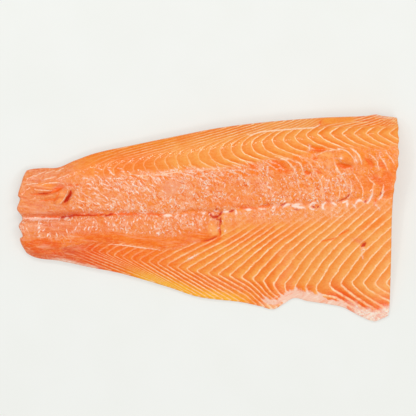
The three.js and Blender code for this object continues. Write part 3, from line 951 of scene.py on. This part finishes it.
def flat_base(ring, along_cells, across_cells):
    """Closes a hidden underside with long strips between the belly and the back."""
    belly = ring[:along_cells + 1]
    start = along_cells + across_cells
    back = ring[start:start + along_cells + 1][::-1]
    strips = [[belly[k + 1], belly[k], back[k], back[k + 1]] for k in range(1, along_cells - 1)]
    cut = ring[along_cells - 1:start + 2]
    tail = np.concatenate([ring[start + along_cells - 1:], ring[:2]])
    return strips + [cut[::-1].tolist(), tail[::-1].tolist()]


def place_on_frame(vertices):
    """The plan shift that puts the tail end and the belly edge on the sides of the CAD box."""
    shift = CAD_LOW - vertices.min(axis=0)
    shift[2] = 0
    return shift


def local_pitch(count, x, y):
    """Distance between neighbouring lines, measured across them."""
    step = 0.05
    gx = (count(x + step, y) - count(x - step, y)) / (2 * step)
    gy = (count(x, y + step) - count(x, y - step)) / (2 * step)
    return np.clip(1 / np.maximum(np.hypot(gx, gy), 1e-3), 1, 12)


def read_integers(items, name):
    values = np.empty(len(items), dtype=np.int64)
    items.foreach_get(name, values)
    return values


HIDDEN_CORNER, HIDDEN_SHARE = 0.02, 0.12
MAP_LOW, MAP_SIZE = np.array([-182, -100]), np.array([366, 200])
OUTWARD = np.array([(0, -1), (1, 0), (0, 1), (-1, 0)])


def unfold(piece, plan, depth, first_wall, along_cells, across_cells, hidden_faces):
    """A flat map of the piece: the top as seen from above, with the walls folded outwards."""
    loops = read_integers(piece.data.loops, "vertex_index")
    totals = read_integers(piece.data.polygons, "loop_total")
    face = np.repeat(np.arange(len(totals)), totals)
    ring = 2 * (along_cells + across_cells)
    column = (face - first_wall) % ring
    sides = [along_cells, along_cells + across_cells, 2 * along_cells + across_cells]
    outward = OUTWARD[np.searchsorted(sides, column, side="right")]
    wall = face >= first_wall
    spot = plan[loops] + np.where(wall[:, None], outward * depth[loops][:, None], 0)
    uv = (spot - MAP_LOW) / MAP_SIZE
    hidden = face >= len(totals) - hidden_faces
    uv[hidden] = HIDDEN_CORNER + HIDDEN_SHARE * (plan[loops][hidden] - MAP_LOW) / MAP_SIZE
    layer = piece.data.uv_layers.new(name="OFBake")
    layer.data.foreach_set("uv", uv.astype(np.float32).ravel())


def side_colours(colours, y_from_spine, depth, level):
    """Paler flesh down the cut sides, with the dark muscle along the middle of the skin."""
    wall = grows(0, 2.5, depth)
    colours = blend_tone(colours, (226, 150, 104), 0.75 * wall * fades(1, 3, level))
    below_muscle = level + 0.3 * np.abs(y_from_spine)
    dark_muscle = wall * bell(y_from_spine, 12) * fades(2, 6.5, below_muscle)
    return blend_tone(colours, (164, 96, 66), 0.8 * dark_muscle)


LAYER_SLANT = 0.11
LINE_SHARE, WIDEST_LINE = 0.24, 0.95


def set_lines(piece, surface, x, y, z, depth, source):
    """What the material needs to draw each family of muscle lines."""
    boldness = line_boldness(z)
    for name, count in FAMILIES.items():
        pitch = local_pitch(count, x, y)
        width = np.minimum(LINE_SHARE * pitch, WIDEST_LINE) * boldness[name]
        set_attribute(piece, name + "_count", count(x, y)[source] + LAYER_SLANT * depth)
        set_attribute(piece, name + "_strength", surface.strengths[name].ravel()[source])
        set_attribute(piece, name + "_pitch", pitch[source])
        set_attribute(piece, name + "_width", width[source])


def set_zones(piece, x, z, cover, source):
    """Where the material shows shreds, curls, streaks, film, veins and bands."""
    calm = 0.55 * grows(96, 124, x) + 0.6 * band(z["valley"], -14, 4, 4) * band(x, 52, 130, 8)
    grain = grain_share(z) * (1 - cover) * (1 - np.clip(calm, 0, 0.75))
    streaky = 0.7 * z["tail"] + 0.15 * z["tail_low"] + 0.5 * z["bundle_low"]
    shares = {
        "speckle": grain,
        "curly": grain * fades(-10, 70, x),
        "streaky": np.clip(streaky, 0, 1),
        "film": z["film"] * (1 - 0.8 * z["lip"]),
        "veined": np.clip(z["flap"] + z["film"] + 0.7 * z["tail_rim"], 0, 1),
        "side_band": z["side_band"] * (1 - z["fat_band"]),
    }
    for name, share in shares.items():
        set_attribute(piece, name, share[source])


def make_fillet(surface):
    """The flesh, and the shift that puts both pieces on the frame."""
    vertices, walls, ring, depth, source = build_flesh(surface)
    shift = place_on_frame(vertices)
    x, y = surface.x.ravel(), surface.y.ravel()
    z = {name: values.ravel() for name, values in surface.z.items()}
    base = flat_base(ring, CELLS_ALONG, CELLS_ACROSS)
    quads = np.concatenate([surface.quads] + walls)
    piece = make_mesh("salmon_flesh", vertices + shift, quads.tolist() + base)
    set_lines(piece, surface, x, y, z, depth, source)
    for name, field in surface.fields.items():
        set_attribute(piece, name, np.where(depth > 0, STROKE_REACH, field.ravel()[source]))
    colours, cover = flesh_colours(x, y, z)
    from_spine = (y - SPINE_LINE(x))[source]
    level = vertices[:, 2] - SKIN_THICKNESS
    set_colours(piece, "tone", side_colours(colours[source], from_spine, depth, level))
    set_colours(piece, "deep_tone", blended(x, z, DEEP_FLESH_TONE, DEEP_TONES)[source])
    set_zones(piece, x, z, cover, source)
    plan = np.stack([x, y], -1)[source]
    unfold(piece, plan, depth, len(surface.quads), CELLS_ALONG, CELLS_ACROSS, len(base))
    return piece, shift


SKIN_ALONG, SKIN_ACROSS = 160, 60
SKIN_INSET = 0.5
# Rows of the skin's side: how far it is drawn in, and its level as a share of the skin
SKIN_SIDE = ((0.7, 0.12), (0.45, 0.5), (0.35, 0.95))


def make_skin(shift):
    """The thin skin under the flesh: a closed slab with a flat underside."""
    u, s, x, y, index, quads = grid(SKIN_ALONG, SKIN_ACROSS, SKIN_INSET + EDGE_ROLL)
    bi, bj = border_cells(SKIN_ALONG, SKIN_ACROSS)
    edge_height = base_height(x[bi, bj], s[bi, bj])
    under = np.stack([x, y, np.zeros(x.shape)], axis=-1).reshape(-1, 3)
    parts = [under]
    for inset, share in SKIN_SIDE:
        wx, wy = plan_point(u[bi, bj], s[bi, bj], inset)
        parts.append(np.stack([wx, wy, share * skin_level(edge_height)], axis=-1))
    rings = wall_rings(index[bi, bj], len(under), len(SKIN_SIDE))
    walls = [ring_quads(upper, lower) for lower, upper in zip(rings, rings[1:])]
    lid = [face[::-1] for face in flat_base(rings[-1], SKIN_ALONG, SKIN_ACROSS)]
    faces = quads[:, ::-1].tolist() + np.concatenate(walls).tolist() + lid
    vertices = np.concatenate(parts)
    piece = make_mesh("salmon_skin", vertices + shift, faces)
    px, py, pz = vertices.T
    spine = SPINE_LINE(px)
    edge = np.where(py < spine, spine - BELLY_EDGE(px), BACK_EDGE(px) - spine)
    set_attribute(piece, "to_back", np.clip((py - spine) / edge, -1, 1))
    set_attribute(piece, "from_spine", py - spine)
    outside = np.where(pz > 0, 1 + pz, 0)
    unfold(piece, vertices[:, :2], outside, len(quads), SKIN_ALONG, SKIN_ACROSS, len(lid))
    return piece


# -------- material nodes
class Graph:
    """Short calls for building one material's nodes."""

    def __init__(self, name):
        self.material = bpy.data.materials.new(name)
        self.material.use_nodes = True
        self.tree = self.material.node_tree
        self.shader = self.tree.nodes["Principled BSDF"]
        self.place = self.tree.nodes.new("ShaderNodeTexCoord").outputs["Object"]

    def node(self, kind, inputs=None, **settings):
        node = self.tree.nodes.new(kind)
        for key, value in settings.items():
            setattr(node, key, value)
        for key, value in (inputs or {}).items():
            self.feed(node.inputs[key], value)
        return node

    def feed(self, socket, value):
        if isinstance(value, bpy.types.NodeSocket):
            self.tree.links.new(value, socket)
        else:
            socket.default_value = value

    def attribute(self, name, output="Fac"):
        return self.node("ShaderNodeAttribute", attribute_name=name).outputs[output]

    def math(self, operation, a, b=0, c=0, clamp=False):
        node = self.node("ShaderNodeMath", {0: a, 1: b, 2: c}, operation=operation, use_clamp=clamp)
        return node.outputs[0]

    def join(self, operation, values):
        result = values[0]
        for value in values[1:]:
            result = self.math(operation, result, value)
        return result

    def product(self, *values):
        return self.join("MULTIPLY", values)

    def total(self, *values):
        return self.join("ADD", values)

    def largest(self, *values):
        return self.join("MAXIMUM", values)

    def span(self, value, low, high, to_low=0, to_high=1):
        inputs = {"Value": value, "From Min": low, "From Max": high, "To Min": to_low, "To Max": to_high}
        return self.node("ShaderNodeMapRange", inputs, interpolation_type="SMOOTHSTEP").outputs["Result"]

    def mix(self, share, a, b):
        node = self.node("ShaderNodeMix", data_type="RGBA")
        for key, value in (("Factor_Float", share), ("A_Color", a), ("B_Color", b)):
            socket = next(item for item in node.inputs if item.identifier == key)
            self.feed(socket, value)
        return next(item for item in node.outputs if item.identifier == "Result_Color")

    def noise(self, size_mm, detail=3, rough=0.55, long=1, warp=0, turn=0):
        """Noise whose grains are drawn out long times, along a direction in degrees."""
        turned_by = (0, 0, math.radians(turn))
        inputs = {"Vector": self.place, "Scale": (long, 1, 1), "Rotation": turned_by}
        place = self.node("ShaderNodeMapping", inputs, vector_type="TEXTURE").outputs[0]
        inputs = {"Vector": place, "Scale": MILLIMETRES / size_mm, "Detail": detail,
                  "Roughness": rough, "Distortion": warp}
        return self.node("ShaderNodeTexNoise", inputs).outputs["Fac"]

    def sway(self, reach, *shape, **settings):
        """Noise between -reach and reach."""
        return self.math("MULTIPLY_ADD", self.noise(*shape, **settings), 2 * reach, -reach)

    def grain(self, low, high, *shape, **settings):
        """Spots of noise, none where it is below low and full where it is above high."""
        return self.span(self.noise(*shape, **settings), low, high)

    def lay(self, tone, *shares):
        """Lays a tone over the colour so far, by the product of the shares."""
        tone = rgb(tone) if isinstance(tone, tuple) else tone
        self.colour = self.mix(self.product(*shares), self.colour, tone)

    def bump(self, height, depth_mm):
        inputs = {"Height": height, "Distance": depth_mm * METRES, "Strength": 1}
        return self.node("ShaderNodeBump", inputs).outputs["Normal"]

    def connect(self, output, name):
        self.tree.links.new(output, self.shader.inputs[name])

    def set_uniform(self, values):
        for name, value in values.items():
            self.shader.inputs[name].default_value = value


def rgb(tone):
    return (*to_linear(tone), 1)


def muscle_line(graph, name, wobble):
    """Nearness to a pale line, the painted shade just past it and the painted light just before it."""
    count = graph.math("ADD", graph.attribute(name + "_count"), wobble)
    share = graph.math("FRACT", count)
    to_line = graph.math("PINGPONG", count, 0.5)
    pitch = graph.attribute(name + "_pitch")
    distance = graph.product(to_line, pitch)
    strength = graph.attribute(name + "_strength")
    share_out = graph.math("DIVIDE", distance, graph.attribute(name + "_width"))
    nearness = graph.math("SUBTRACT", 1, share_out, clamp=True)
    line = graph.product(graph.span(nearness, 0, 0.75), strength)
    past = graph.product(graph.span(share, 0.12, 0.85, 1, 0), graph.span(share, 0.02, 0.12))
    rising = graph.span(share, 0.55, 1)
    return line, graph.product(past, strength), graph.product(rising, strength)


def lay_mottling(g, deep):
    """Soft clouds, fine fibres and clots all over the flesh."""
    g.lay(deep, g.grain(0.4, 0.66, 11, 5, 0.65), 0.42)
    g.lay((255, 166, 84), g.grain(0.48, 0.72, 10, 5, 0.65), 0.26)
    fibres = g.grain(0.47, 0.64, 1.1, 3, 0.7, long=3.3, turn=8)
    g.lay((255, 180, 104), fibres, 0.34)
    clots = g.grain(0.49, 0.6, 1.6, 3, 0.75, long=1.7, turn=-30)
    g.lay(deep, clots, 0.4)


MEDIAL_WOBBLE = 2.2


def lay_muscle_lines(g, deep):
    """Painted light before each line, painted shade past it, then the broken pale line itself."""
    wobble = g.total(g.sway(0.19, 8, 3), g.sway(0.125, 2.4, 3, 0.7))
    wobbles = {"medial": g.product(wobble, MEDIAL_WOBBLE)}
    parts = [muscle_line(g, name, wobbles.get(name, wobble)) for name in FAMILIES]
    lines, shades, glows = zip(*parts)
    # painted light before each line and painted shade past it, as on layers tilted towards and away from
    # the light
    g.lay((255, 170, 84), g.largest(*glows), 0.32)
    g.lay(deep, g.largest(*shades), 0.72)
    fine_breaks = g.span(g.noise(3, 3), 0.32, 0.6, 0.4, 1)
    broad_breaks = g.span(g.noise(15, 1), 0.3, 0.6, 0.82, 1.12)
    line = g.product(g.largest(*lines), g.product(fine_breaks, broad_breaks))
    g.lay((255, 218, 174), g.math("MULTIPLY", line, 0.8, clamp=True))
    return line


def lay_bands(g, deep):
    """Drawn-out bands of the back edge, and streaks of the tail and the bundle."""
    banded, streaky = g.attribute("side_band"), g.attribute("streaky")
    pale_bands = g.grain(0.54, 0.64, 1.7, 2, long=8, turn=9, warp=0.4)
    g.lay((255, 198, 130), pale_bands, banded, 0.85)
    red_bands = g.grain(0.5, 0.62, 1.9, 2, long=8, turn=6)
    g.lay((246, 104, 6), red_bands, banded, 0.6)
    pale_streaks = g.grain(0.5, 0.68, 2, 3, long=9, turn=-5, warp=0.3)
    g.lay((254, 194, 158), pale_streaks, streaky, 0.6)
    deep_streaks = g.grain(0.5, 0.7, 2.6, 3, long=9, turn=-7)
    g.lay(deep, deep_streaks, streaky, 0.9)


def lay_torn_flesh(g, deep):
    """Clouds, shreds, threads, pale grains that are partly painted glints, and curled ridges of the torn
    flesh beside the spine.
    """
    speckle = g.product(g.attribute("speckle"), g.span(g.noise(13, 2), 0.36, 0.58, 0.5, 1.15))
    g.lay((252, 180, 142), g.grain(0.46, 0.62, 9, 4, 0.65), speckle, 0.3)
    rosy = g.grain(0.48, 0.61, 2.2, 4, 0.75, long=1.8, turn=-40, warp=0.5)
    g.lay((253, 190, 154), rosy, speckle, 0.57)
    dim = g.grain(0.5, 0.6, 1.9, 4, 0.75, long=1.9, turn=-36, warp=0.4)
    g.lay(deep, dim, speckle, 0.92)
    threads = g.grain(0.56, 0.66, 1.4, 2, 0.6, long=4, turn=-70)
    g.lay((254, 208, 180), threads, speckle, 0.48)
    # pale grains: partly connective tissue, partly painted glints of the wet flesh
    specks_and_glints = g.product(g.grain(0.56, 0.62, 1.6, 2, 0.6), g.grain(0.34, 0.54, 8, 3), speckle)
    g.lay((253, 220, 200), specks_and_glints, 0.85)
    ridges = []
    for size, width in ((7, 0.016), (4.2, 0.02)):
        level = g.math("ABSOLUTE", g.math("SUBTRACT", g.noise(size, 1, 0.5, warp=1.1), 0.5))
        ridges.append(g.span(level, 0.4 * width, 1.6 * width, 1, 0))
    ridge = g.product(g.largest(*ridges), g.grain(0.44, 0.6, 6.5, 2), g.attribute("curly"))
    g.lay((255, 222, 198), ridge, 0.42)
    return specks_and_glints


# Tone and share of each kind of stroke, and the distances where it is full and where it ends. The hollow
# and crease tones are painted shade; the blood tone is real blood in places and painted shadow in others.
STROKE_LAYERS = {
    "hollow_shade": ((251, 126, 18), 0.85, -0.4, 0.7), "crease_shade": ((247, 104, 2), 0.84, -0.4, 1),
    "blood_and_shadow": ((210, 52, 10), 0.95, -0.35, 0.75), "curl": ((255, 228, 210), 0.92, -0.15, 0.45),
    "septum": ((255, 222, 190), 0.85, -0.3, 0.5),
}


def lay_strokes(g, ragged):
    """All kinds of strokes with ragged outlines, painted shade among them; the spine tissue and the
    painted glints come last.
    """

    def stroke(name, full, end, rough=1):
        edge = g.math("MULTIPLY_ADD", ragged, rough, g.attribute(name))
        return g.span(edge, full, end, 1, 0)

    for name, (tone, share, full, end) in STROKE_LAYERS.items():
        g.lay(tone, stroke(name, full, end), share)
    haze = stroke("tissue_and_glints", 0, 2.2, 2.5)
    g.lay((254, 206, 180), haze, g.grain(0.44, 0.6, 1.8, 3, 0.7), 0.42)
    tissue_and_glints = stroke("tissue_and_glints", -0.5, 0.5, 1.9)
    g.lay((254, 228, 210), tissue_and_glints, 0.9)
    return tissue_and_glints


def lay_film(g, line, ragged):
    """The belly film with its fringed border, and the veins of the film and the flap."""
    fringe = g.sway(0.8, 3, 3, 0.7, long=3, turn=105)
    reach = g.total(g.attribute("film"), g.product(line, 0.4), g.total(g.product(ragged, 0.3), fringe))
    film = g.product(g.span(reach, 0.4, 0.85), g.span(g.attribute("film"), 0.02, 0.2))
    g.lay((245, 201, 178), film, 0.92)
    veined = g.attribute("veined")
    veins = g.grain(0.5, 0.66, 1.7, 3, 0.6, long=5, turn=32)
    g.lay((246, 150, 108), veins, veined, 0.6)
    milky = g.grain(0.52, 0.66, 2.2, 3, 0.6, long=4, turn=28)
    g.lay((252, 232, 216), milky, veined, 0.5)


def flesh_material():
    g = Graph("raw_flesh")
    g.colour = g.attribute("tone", "Color")
    deep = g.attribute("deep_tone", "Color")
    ragged = g.sway(0.4, 1.5, 2)
    lay_mottling(g, deep)
    line = lay_muscle_lines(g, deep)
    lay_bands(g, deep)
    specks_and_glints = lay_torn_flesh(g, deep)
    tissue_and_glints = lay_strokes(g, ragged)
    lay_film(g, line, ragged)
    g.connect(g.colour, "Base Color")
    wet = g.span(g.noise(2.6, 3), 0.3, 0.7, 0.26, 0.48)
    g.connect(g.math("SUBTRACT", wet, g.product(tissue_and_glints, 0.08)), "Roughness")
    g.set_uniform({"Coat Weight": 0.12, "Coat Roughness": 0.08, "Specular IOR Level": 0.17})
    bumps = g.total(g.noise(0.9, 3, 0.6), g.product(specks_and_glints, 0.9), g.product(g.noise(2.2, 2), 1.2))
    g.connect(g.bump(bumps, 0.17), "Normal")
    return g.material


SCALE_SIZE = 2.6


def skin_material():
    """Silvery scales, dark on the back and white on the belly, with the lateral line."""
    g = Graph("scaly_skin")
    height = g.total(g.attribute("to_back"), g.sway(0.18, 22, 3))
    g.colour = rgb((232, 233, 230))
    g.lay((176, 184, 188), g.span(height, -0.75, 0))
    g.lay((74, 86, 96), g.span(height, 0.1, 0.75))
    place = g.node("ShaderNodeMapping", {"Vector": g.place, "Scale": (1, 1.35, 1)}).outputs[0]
    inputs = {"Vector": place, "Scale": MILLIMETRES / SCALE_SIZE, "Randomness": 0.35}
    cells = g.node("ShaderNodeTexVoronoi", inputs, feature="DISTANCE_TO_EDGE").outputs["Distance"]
    g.lay((84, 94, 102), g.span(cells, 0, 0.16, 1, 0), 0.45)
    g.lay((28, 32, 36), g.grain(0.7, 0.76, 9, 1), g.span(height, 0.2, 0.5), 0.8)
    lateral = g.span(g.math("ABSOLUTE", g.attribute("from_spine")), 0.4, 1.1, 1, 0)
    g.lay((70, 80, 88), lateral, 0.6)
    g.connect(g.colour, "Base Color")
    g.connect(g.span(g.noise(6, 3), 0.3, 0.7, 0.26, 0.44), "Roughness")
    g.set_uniform({"Metallic": 0.3})
    relief = g.math("SUBTRACT", g.math("MINIMUM", cells, 0.3), g.product(lateral, 0.2))
    g.connect(g.bump(relief, 0.35), "Normal")
    return g.material


# -------- studio
FLOOR_REACH = 4000
WORLD_STRENGTH = 0.56
# Lights: name, place and size in metres, power
LIGHTS = [
    ("key_light", (-0.72, 1.92, 2.52), 1.3, 108),
    ("fill_light", (1.32, -1.68, 2.88), 2.4, 86),
    ("left_glint_light", (-0.45, 0.1, 1.2), 0.05, 1.6),
    ("right_glint_light", (0.4, 0.35, 1.2), 0.05, 1.6),
]


def make_floor():
    corners = [(FLOOR_REACH * x, FLOOR_REACH * y, 0) for x, y in ((-1, -1), (1, -1), (1, 1), (-1, 1))]
    floor = make_mesh("studio_floor", corners, [[0, 1, 2, 3]], smooth=False)
    graph = Graph("pale_floor")
    tint = graph.span(graph.noise(60, 2), 0.3, 0.7)
    pale = graph.mix(tint, rgb((181, 182, 179)), rgb((179, 180, 176)))
    graph.connect(pale, "Base Color")
    graph.set_uniform({"Emission Color": rgb((243, 245, 241)), "Emission Strength": 0.45})
    graph.set_uniform({"Roughness": 0.9, "Specular IOR Level": 0.2})
    floor.data.materials.append(graph.material)


def look_rotation(direction):
    x, y, z = direction / np.linalg.norm(direction)
    tilt = math.acos(-z)
    turn = math.atan2(x, -y) if abs(x) + abs(y) > 1e-9 else 0
    return (tilt, 0, turn)


def make_light(name, place, size, power):
    data = bpy.data.lights.new(name, "AREA")
    data.size = size
    data.energy = power
    lamp = bpy.data.objects.new(name, data)
    lamp.location = place
    lamp.rotation_euler = look_rotation(-np.array(place))
    bpy.context.scene.collection.objects.link(lamp)


def make_studio():
    make_floor()
    world = bpy.data.worlds.new("studio")
    world.use_nodes = True
    background = world.node_tree.nodes["Background"]
    background.inputs["Color"].default_value = (1, 1, 1, 1)
    background.inputs["Strength"].default_value = WORLD_STRENGTH
    bpy.context.scene.world = world
    for light in LIGHTS:
        make_light(*light)


CAMERA_LENS = 250
CAMERA_SENSOR = 36
VIEW_WIDTH = 0.3328
VIEW_MIDDLE_Y = 0.0076
MEAN_FLESH_LEVEL = 0.014


def make_camera():
    data = bpy.data.cameras.new("camera")
    data.lens = CAMERA_LENS
    data.sensor_width = CAMERA_SENSOR
    camera = bpy.data.objects.new("camera", data)
    distance = VIEW_WIDTH * CAMERA_LENS / CAMERA_SENSOR
    camera.location = (0, VIEW_MIDDLE_Y, MEAN_FLESH_LEVEL + distance)
    bpy.context.scene.collection.objects.link(camera)
    bpy.context.scene.camera = camera


# -------- build
surface = Surface()
flesh, plan_shift = make_fillet(surface)
flesh.data.materials.append(flesh_material())
skin = make_skin(plan_shift)
skin.data.materials.append(skin_material())
for piece in (flesh, skin):
    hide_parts("fillet")
    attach(piece, "root")

make_camera()
make_studio()
bpy.context.scene.view_settings.view_transform = "Standard"
